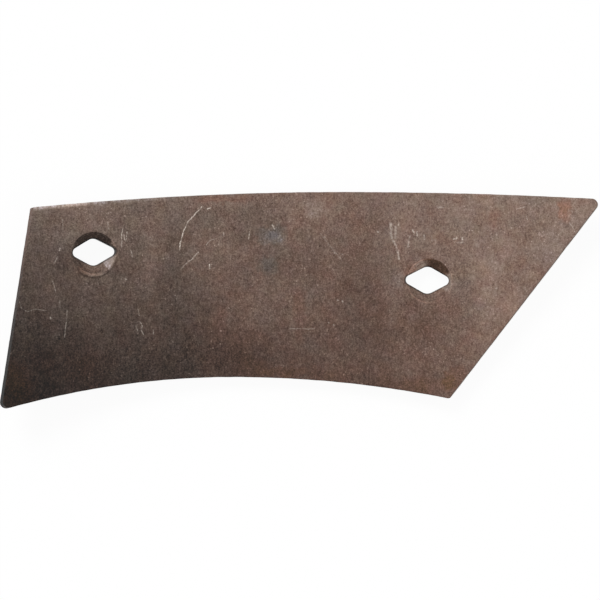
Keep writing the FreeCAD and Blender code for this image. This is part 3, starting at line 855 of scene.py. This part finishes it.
def add_patches(graph, tree, place, patches, tone, warmth):
    """Tone and warmth with soft patches added."""
    for middle_x, middle_y, reach_x, reach_y, level, change in patches.values():
        tone, warmth = graph.group(
            tree, Place=place, Middle=(middle_x * MM, middle_y * MM, 0.0),
            Reach=(reach_x * MM, reach_y * MM, 1.0),
            Tone=tone, Warmth=warmth, Level=level, Change=change,
        )
    return tone, warmth


def add_shades(graph, tree, place, share, shades, tone, warmth):
    """Tone and warmth with sectors of rings round the holes added."""
    for hole, degrees, spread, radius, width, level, change in shades.values():
        turn = math.radians(degrees)
        tone, warmth = graph.group(
            tree, Place=place, Middle=(*SINKS[hole], 0.0),
            Toward=(math.cos(turn), math.sin(turn), 0.0), Edge=math.cos(math.radians(spread)),
            Radius=radius * MM, Width=width * MM, Share=share,
            Tone=tone, Warmth=warmth, Level=level, Change=change,
        )
    return tone, warmth


def scratch_marks(graph, place):
    """Mask of all scratches, from 0 to 1."""
    tree = scratch_group()
    marks = 0.0
    for width, level, points in SCRATCHES.values():
        for (start_x, start_y), (end_x, end_y) in zip(points, points[1:]):
            marks = graph.group(
                tree, Place=place, Start=(start_x * MM, start_y * MM, 0.0),
                Run=((end_x - start_x) * MM, (end_y - start_y) * MM, 0.0),
                Marks=marks, Width=width * MM, Level=level,
            )[0]
    return marks


def warmth_colour(graph, warmth):
    """Colour of the scale at full tone for a warmth."""
    steps = sorted(WARMTH_COLOURS)
    ramp = graph.add("ShaderNodeValToRGB")
    elements = ramp.color_ramp.elements
    while len(elements) < len(steps):
        elements.new(0.5)
    for element, step in zip(elements, steps):
        element.position = (step - steps[0]) / (steps[-1] - steps[0])
        element.color = WARMTH_COLOURS[step]
    graph.feed(ramp.inputs["Fac"], graph.remap(warmth, steps[0], steps[-1]))
    return ramp.outputs["Color"]


def add_edge_highlight(graph, plan, x, breaks, tone, warmth):
    """Painted highlight along the left of the upper edge, where the edge catches the light."""
    reach = graph.vector("DISTANCE", plan, UPPER_ARC_MIDDLE, output="Value")
    outer = UPPER_ARC_RADIUS - EDGE_HIGHLIGHT_WIDTH
    inner = UPPER_ARC_RADIUS - EDGE_HIGHLIGHT_CORE
    across = graph.product(graph.remap(reach, outer, inner, smooth=True), breaks)
    for fade, end, level, change in EDGE_HIGHLIGHTS.values():
        highlight = graph.math("MULTIPLY", across, graph.remap(x, end, fade))
        tone = graph.math("MULTIPLY_ADD", highlight, level, tone)
        warmth = graph.math("MULTIPLY_ADD", highlight, change, warmth)
    return tone, warmth


def wandering_places(graph, plan):
    """Places of the marks and of the patches, which wander so that no border is even."""
    inputs = {"Vector": plan, "Scale": 1 / WANDER_SIZE, "Detail": 2.0}
    wander = graph.add("ShaderNodeTexNoise", inputs).outputs["Color"]
    wander = graph.vector("SUBTRACT", wander, (0.5, 0.5, 0.5))
    wander = graph.vector("MULTIPLY", wander, (1.0, 1.0, 0.0))
    mark_place = graph.vector("ADD", plan, graph.scale(wander, MARK_WANDER))
    patch_place = graph.vector("ADD", plan, graph.scale(wander, PATCH_WANDER))
    return mark_place, patch_place


def add_sinks(graph, tree, place, mark_place, regions, tone, warmth):
    """Painted light and shade and grain of the countersinks, highlights and rings of their rims, and the
    painted shade round the openings.
    """
    front, sink = regions["front"], regions["sink"]
    # Painted shade, painted light and a painted highlight in the countersinks.
    tone, warmth = add_shades(graph, tree, mark_place, sink, SINK_LIGHT_AND_SHADE, tone, warmth)
    grain = graph.math("MULTIPLY", graph.noise(place, SINK_GRAIN_SIZE, SEEDS["sinks"]), sink)
    tone = graph.math("MULTIPLY_ADD", grain, SINK_GRAIN_LEVEL, tone)
    # Painted highlights and darker rings at the rims.
    tone, warmth = add_shades(graph, tree, mark_place, front, RIM_HIGHLIGHTS_AND_RINGS, tone, warmth)
    # Painted shade: a dark line round each opening.
    line = graph.remap(graph.attribute("bore_gap"), BORE_SHADE_OUTER, BORE_SHADE_INNER)
    return graph.math("MULTIPLY_ADD", line, BORE_SHADE_LEVEL, tone), warmth


def add_walls(graph, regions, striations, face_tone, tone, warmth):
    """Tone and warmth of the cut edges, the square end and the bores, put over the scale's."""
    cut, end = regions["cut"], regions["end"]
    cut_tone = graph.math("MULTIPLY_ADD", tone, CUT_SHARE, CUT_TONE)
    cut_tone = graph.math("MULTIPLY_ADD", striations, STRIATION_LEVEL, cut_tone)
    end_tone = graph.math("MULTIPLY_ADD", face_tone, END_SHARE, END_LEVEL)
    tone = graph.blend(cut, tone, graph.blend(end, cut_tone, end_tone))
    bore_tone = graph.math("MULTIPLY_ADD", striations, STRIATION_LEVEL, BORE_TONE)
    tone = graph.blend(regions["bore"], tone, bore_tone)
    change = graph.blend(end, CUT_WARMTH, END_WARMTH)
    return tone, graph.math("MULTIPLY_ADD", cut, change, warmth)


def scale_colour(graph, place, tone, warmth):
    """Colour of the scale for its tone and warmth, with a slow drift of green and blue."""
    level = graph.math("DIVIDE", graph.math("MAXIMUM", tone, LEAST_TONE), SCREEN_WHITE)
    shade = graph.math("POWER", level, SCREEN_GAMMA)
    green = graph.noise(place, DRIFT_SIZE, SEEDS["green"], detail=3.0)
    green = graph.math("MULTIPLY_ADD", green, GREEN_DRIFT, 1.0)
    blue = graph.noise(place, DRIFT_SIZE, SEEDS["blue"], detail=3.0)
    blue = graph.math("MULTIPLY_ADD", blue, BLUE_DRIFT, 1.0)
    drift = graph.add("ShaderNodeCombineXYZ", {"X": 1.0, "Y": green, "Z": blue}).outputs["Vector"]
    colour = graph.vector("MULTIPLY", warmth_colour(graph, warmth), drift)
    return graph.scale(colour, shade)


def add_gloss(graph, shader, place, cut, striations, marks):
    """Fine relief and roughness of the surface."""
    pits = graph.noise(place, PIT_SIZE, SEEDS["pits"], detail=3.0, roughness=0.6)
    swell = graph.noise(place, SWELL_SIZE, SEEDS["swell"])
    cut_marks = graph.math("MULTIPLY", striations, cut)
    height = graph.math("MULTIPLY_ADD", swell, SWELL_SHARE, pits)
    height = graph.math("MULTIPLY_ADD", cut_marks, STRIATION_SHARE, height)
    height = graph.math("MULTIPLY_ADD", marks, SCRATCH_SHARE, height)
    inputs = {"Strength": BUMP_STRENGTH, "Distance": BUMP_DEPTH, "Height": height}
    graph.feed(shader.inputs["Normal"], graph.add("ShaderNodeBump", inputs).outputs["Normal"])
    scale_roughness = graph.remap(pits, *ROUGHNESS_SPREAD)
    roughness = graph.blend(marks, scale_roughness, SCRATCH_ROUGHNESS)
    graph.feed(shader.inputs["Roughness"], roughness)
    shader.inputs["Metallic"].default_value = METALLIC
    shader.inputs["Specular IOR Level"].default_value = SPECULAR


def steel_material():
    """Brown mill scale with its marks, from the working face to the cut edges and the back."""
    material = bpy.data.materials.new("scaled_steel")
    material.use_nodes = True
    graph = Graph(material.node_tree)
    shader = material.node_tree.nodes["Principled BSDF"]
    place = graph.add("ShaderNodeTexCoord").outputs["Object"]
    axes = graph.add("ShaderNodeSeparateXYZ", {"Vector": place}).outputs
    x, y = axes["X"], axes["Y"]
    plan = graph.add("ShaderNodeCombineXYZ", {"X": x, "Y": y}).outputs["Vector"]
    mark_place, patch_place = wandering_places(graph, plan)
    regions = {name: graph.attribute(name) for name in ("front", "sink", "bore", "cut", "end")}

    # The light grain of the scale is less warm than the dark grain.
    even_tone = tone_with_painted_shade(graph, x, y)
    tone = add_grain(graph, place, even_tone)
    grain = graph.math("SUBTRACT", tone, even_tone)
    warmth = base_warmth(graph, place, x, y)
    warmth = graph.math("MULTIPLY_ADD", grain, GRAIN_WARMTH, warmth)

    # Both faces have patches, and the working face has the painted edge highlight and the countersinks
    # too.
    patch_tree = patch_group()
    back_tone, back_warmth = add_patches(
        graph, patch_tree, patch_place, BACK_PATCHES, tone, warmth,
    )
    face_tone, warmth = add_patches(graph, patch_tree, patch_place, PATCHES, tone, warmth)
    breaks = graph.noise(place, BREAK_SIZE, SEEDS["breaks"], detail=3.0, roughness=0.6)
    breaks = graph.remap(breaks, *BREAK_SPREAD)
    # Painted highlight along the left of the upper edge.
    tone, warmth = add_edge_highlight(graph, plan, x, breaks, face_tone, warmth)
    shade_tree = shade_group()
    tone, warmth = add_sinks(graph, shade_tree, place, mark_place, regions, tone, warmth)
    front = regions["front"]
    tone = graph.blend(front, back_tone, tone)
    warmth = graph.blend(front, back_warmth, warmth)

    drawn = graph.vector("MULTIPLY", place, STRIATION_STRETCH)
    striations = graph.noise(drawn, STRIATION_SIZE, SEEDS["striations"])
    tone, warmth = add_walls(graph, regions, striations, face_tone, tone, warmth)

    beads = graph.remap(graph.noise(place, BEAD_SIZE, SEEDS["beads"], detail=1.0), *BEAD_SPREAD)
    marks = graph.product(scratch_marks(graph, mark_place), breaks, beads, front)
    colour = graph.mix(marks, scale_colour(graph, place, tone, warmth), SCRATCH_COLOUR)
    graph.feed(shader.inputs["Base Color"], colour)
    add_gloss(graph, shader, place, regions["cut"], striations, marks)
    return material


def shown_directly(graph):
    """1 for rays that show a surface as a picture or in a reflection, else 0."""
    path = graph.add("ShaderNodeLightPath")
    seen = graph.math("MAXIMUM", path.outputs["Is Camera Ray"], path.outputs["Is Glossy Ray"])
    return graph.math("MAXIMUM", seen, path.outputs["Is Transmission Ray"])


# The floor is a square that reaches this far from the middle, with a white of its own. To
# the camera and in reflections a share of it glows, and the rest keeps the shadow. The world
# looks white there too, and lights the object at a level of its own.
FLOOR_REACH = 4.0
FLOOR_WHITE = 0.9
FLOOR_GLOW_SHARE = 0.94
WORLD_LIGHT = 0.55


def make_floor():
    mesh = bpy.data.meshes.new("floor")
    corners = [(-1, -1), (1, -1), (1, 1), (-1, 1)]
    corners = [(x * FLOOR_REACH, y * FLOOR_REACH, 0.0) for x, y in corners]
    mesh.from_pydata(corners, [], [(0, 1, 2, 3)])
    floor = bpy.data.objects.new("floor", mesh)
    bpy.context.scene.collection.objects.link(floor)

    material = bpy.data.materials.new("floor_white")
    material.use_nodes = True
    material.node_tree.nodes.clear()
    graph = Graph(material.node_tree)
    plain_colour = (FLOOR_WHITE, FLOOR_WHITE, FLOOR_WHITE, 1.0)
    plain = graph.add("ShaderNodeBsdfDiffuse", {"Color": plain_colour})
    glow = graph.add("ShaderNodeEmission", {"Color": (1.0, 1.0, 1.0, 1.0), "Strength": 1.0})
    share = graph.math("MULTIPLY", shown_directly(graph), FLOOR_GLOW_SHARE)
    mixed = graph.add("ShaderNodeMixShader", {0: share, 1: plain.outputs[0], 2: glow.outputs[0]})
    output = graph.add("ShaderNodeOutputMaterial")
    graph.feed(output.inputs["Surface"], mixed.outputs[0])
    mesh.materials.append(material)
    return floor


def light_world():
    world = bpy.data.worlds.new("studio")
    world.use_nodes = True
    bpy.context.scene.world = world
    graph = Graph(world.node_tree)
    strength = graph.remap(shown_directly(graph), 0.0, 1.0, WORLD_LIGHT, 1.0)
    background = world.node_tree.nodes["Background"]
    background.inputs["Color"].default_value = (1.0, 1.0, 1.0, 1.0)
    graph.feed(background.inputs["Strength"], strength)


# Soft lamps at no distance of their own: strength, softness in degrees, and the direction
# from the object to the lamp.
LAMPS = {
    "key_light": (2.0, 25.0, (-0.45, 0.75, 0.9)),
    "fill_light": (0.4, 60.0, (0.7, -0.3, 1.0)),
}


def add_lamps():
    for name, (strength, softness, toward) in LAMPS.items():
        lamp = bpy.data.lights.new(name, "SUN")
        lamp.energy = strength
        lamp.angle = math.radians(softness)
        holder = bpy.data.objects.new(name, lamp)
        holder.rotation_euler = Vector(toward).to_track_quat("Z", "Y").to_euler()
        bpy.context.scene.collection.objects.link(holder)


# The camera is above the point that the bar is drawn about, at this distance from the flat of
# the working face, where the picture's pixels have this width.
CAMERA_DISTANCE = 1500.0 * MM
PICTURE_PIXELS = 600
PIXEL_WIDTH = 0.5 * MM


def add_camera():
    """Camera looking straight down, with the picture's up along +Y."""
    camera = bpy.data.cameras.new("camera")
    camera.lens = camera.sensor_width * CAMERA_DISTANCE / (PICTURE_PIXELS * PIXEL_WIDTH)
    holder = bpy.data.objects.new("camera", camera)
    holder.location = (SHIFT_X, SHIFT_Y, THICKNESS + CAMERA_DISTANCE)
    bpy.context.scene.collection.objects.link(holder)
    bpy.context.scene.camera = holder


steel = make_steel()
steel.data.materials.append(steel_material())
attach(steel, "root")
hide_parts("shin_plate")

make_floor()
light_world()
add_lamps()
add_camera()
bpy.context.scene.view_settings.view_transform = "Standard"
